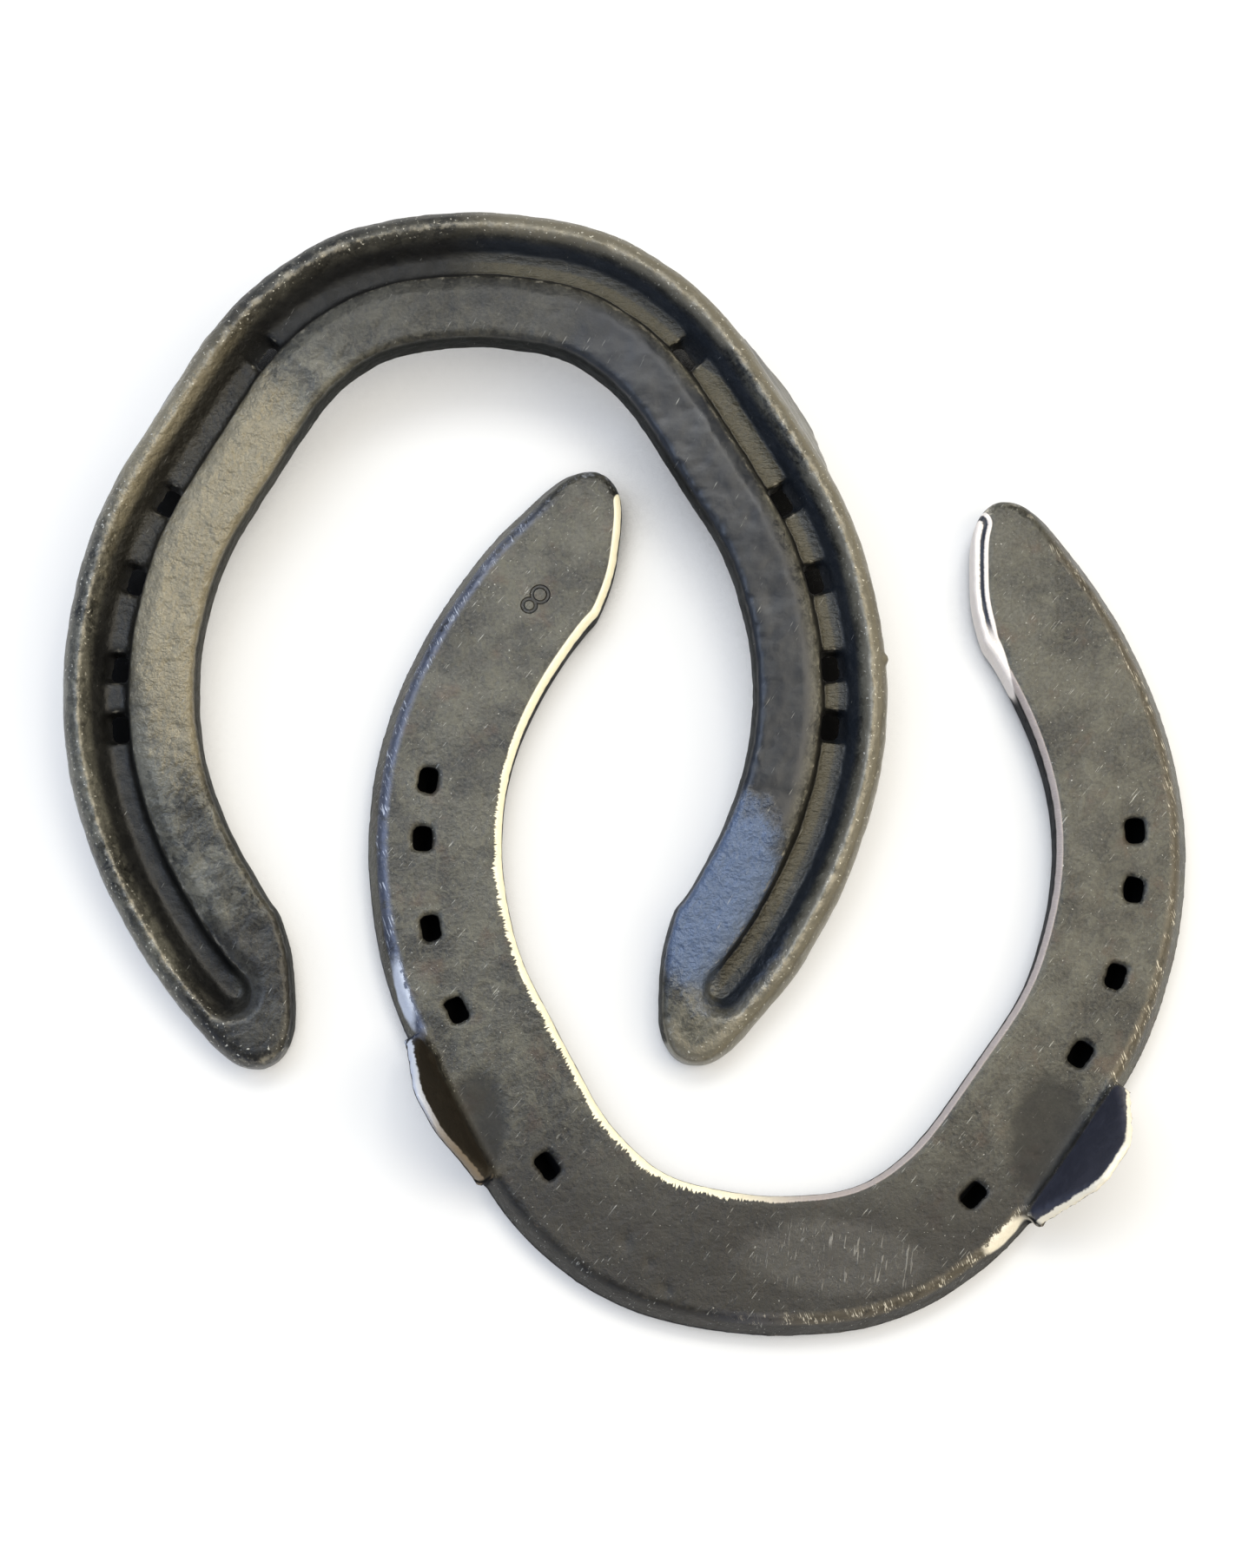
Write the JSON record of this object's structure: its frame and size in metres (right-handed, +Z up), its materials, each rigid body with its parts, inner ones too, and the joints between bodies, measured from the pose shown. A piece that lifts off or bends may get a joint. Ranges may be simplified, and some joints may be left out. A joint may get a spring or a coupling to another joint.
{
  "type": "horseshoe pair",
  "caption": "Pair of forged, creased horseshoes with quarter clips, one hoof side up and one ground side up, lying loose with a branch of each in the other's opening.",
  "frame": {"origin": "on the surface the pair lies on, under the middle of the pair's box", "axes": "+Z up; +Y towards the toe of the ground-side-up shoe; +X towards the hoof-side-up shoe"},
  "size_m": [0.176, 0.1748, 0.0238],
  "materials": {
    "hoof_side_up_steel": "dark mill scale, worn, with bright ground edges",
    "ground_side_up_steel": "dark forged scale with hammered texture and worn ridges"
  },
  "bodies": {
    "flat_shoe": {"hoof_side_up_shoe": "hoof_side_up_steel"},
    "tilted_shoe": {"ground_side_up_shoe": "ground_side_up_steel"}
  },
  "joints": [
    {"name": "lift_off", "type": "slide", "parent": "flat_shoe", "child": "tilted_shoe", "axis": [0, 0, 1], "range_m": [0, 0.06]}
  ]
}
